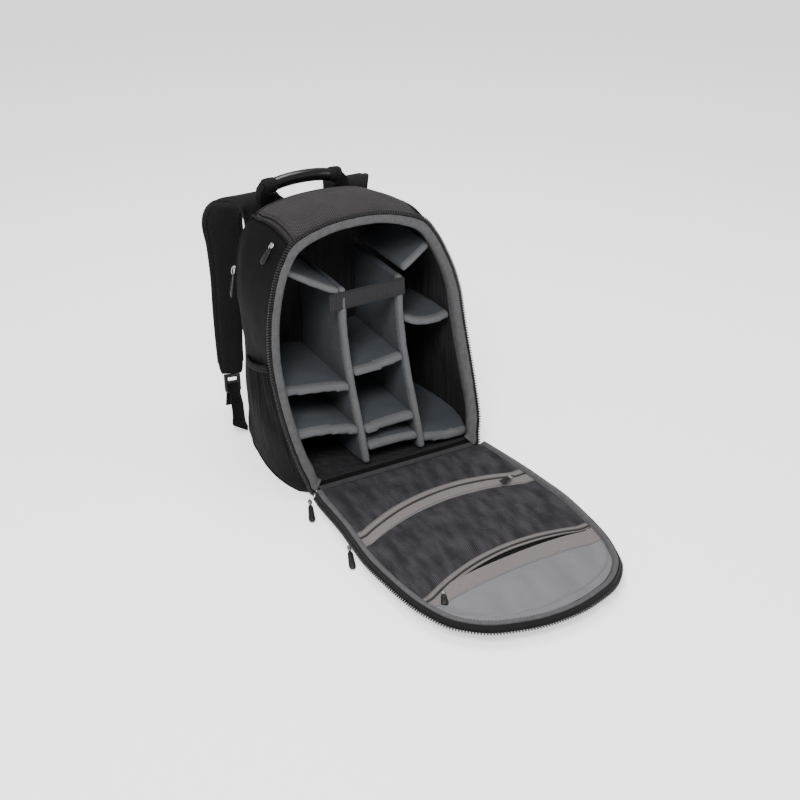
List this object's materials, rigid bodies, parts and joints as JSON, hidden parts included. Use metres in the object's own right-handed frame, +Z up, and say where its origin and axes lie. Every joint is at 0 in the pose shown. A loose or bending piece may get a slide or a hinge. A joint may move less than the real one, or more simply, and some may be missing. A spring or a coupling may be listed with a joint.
{
  "type": "camera backpack",
  "caption": "Padded camera backpack standing open on its base: hollow body with padded dividers, front lid laid down with pockets on its inside, grab handle and shoulder straps.",
  "frame": {"origin": "On the flat underside of the base, under the middle of the bag body", "axes": "+Z up, +Y from the opening towards the wearer's back, so that the lid lies towards -Y; +X to the right of someone who looks into the open bag"},
  "size_m": [0.3336, 0.7532, 0.4006],
  "materials": {
    "shell_black_cloth": "smooth tight black polyester",
    "woven_cloth": "charcoal cloth with a fine raised dot weave",
    "grey_binding": "soft light grey binding tape",
    "zip_cloth": "black zip tape with coarse teeth",
    "mesh_cloth": "fine dark mesh with a slight sheen",
    "grosgrain": "warm grey ribbed band",
    "grey_nylon": "smooth mid grey nylon",
    "divider_cloth": "brushed grey loop cloth with lighter edges",
    "strap_cloth": "dark spacer mesh over padding",
    "webbing": "ribbed black webbing",
    "moulded_black": "black moulded plastic, satin"
  },
  "bodies": {
    "root": {"shell_base": "shell_black_cloth", "shell_side_right": "shell_black_cloth", "shell_side_left": "shell_black_cloth", "shell_back": "shell_black_cloth", "lid_panel": "shell_black_cloth", "shell_top": "woven_cloth", "lid_front_pocket": "woven_cloth", "rim_binding": "grey_binding", "lid_hinge": "grey_binding", "lid_binding": "grey_binding", "rim_zip_tape": "zip_cloth", "lid_zip_tape": "zip_cloth", "lid_mesh_pocket_hinge": "mesh_cloth", "lid_mesh_pocket_tip": "mesh_cloth", "side_pocket_left": "mesh_cloth", "side_pocket_right": "mesh_cloth", "lid_zip_band_hinge": "grosgrain", "lid_zip_band_tip": "grosgrain", "lid_pocket_facing": "grosgrain", "lid_tip_lining": "grey_nylon", "divider_long_left": "divider_cloth", "divider_long_right": "divider_cloth", "divider_left_upper": "divider_cloth", "divider_left_middle": "divider_cloth", "divider_left_lower": "divider_cloth", "divider_middle_upper": "divider_cloth", "divider_middle_lower": "divider_cloth", "divider_middle_bottom": "divider_cloth", "divider_right_upper": "divider_cloth", "divider_right_middle": "divider_cloth", "divider_right_lower": "divider_cloth", "shoulder_strap_left": "strap_cloth", "shoulder_strap_right": "strap_cloth", "hold_down_strap": "webbing", "strap_anchor_left": "webbing", "strap_anchor_right": "webbing", "strap_webbing_left": "webbing", "strap_webbing_right": "webbing", "strap_tail_left": "webbing", "strap_tail_right": "webbing", "handle_foot_left": "webbing", "handle_foot_right": "webbing", "side_pocket_hem_left": "webbing", "side_pocket_hem_right": "webbing", "ladder_lock_left": "moulded_black", "ladder_lock_right": "moulded_black", "handle_grip": "moulded_black", "zip_pull_rim": "moulded_black", "zip_pull_lid_pocket": "moulded_black", "zip_pull_side_upper": "moulded_black", "zip_pull_side_rear": "moulded_black", "zip_pull_band_hinge": "moulded_black", "zip_pull_band_tip": "moulded_black"}
  },
  "joints": []
}
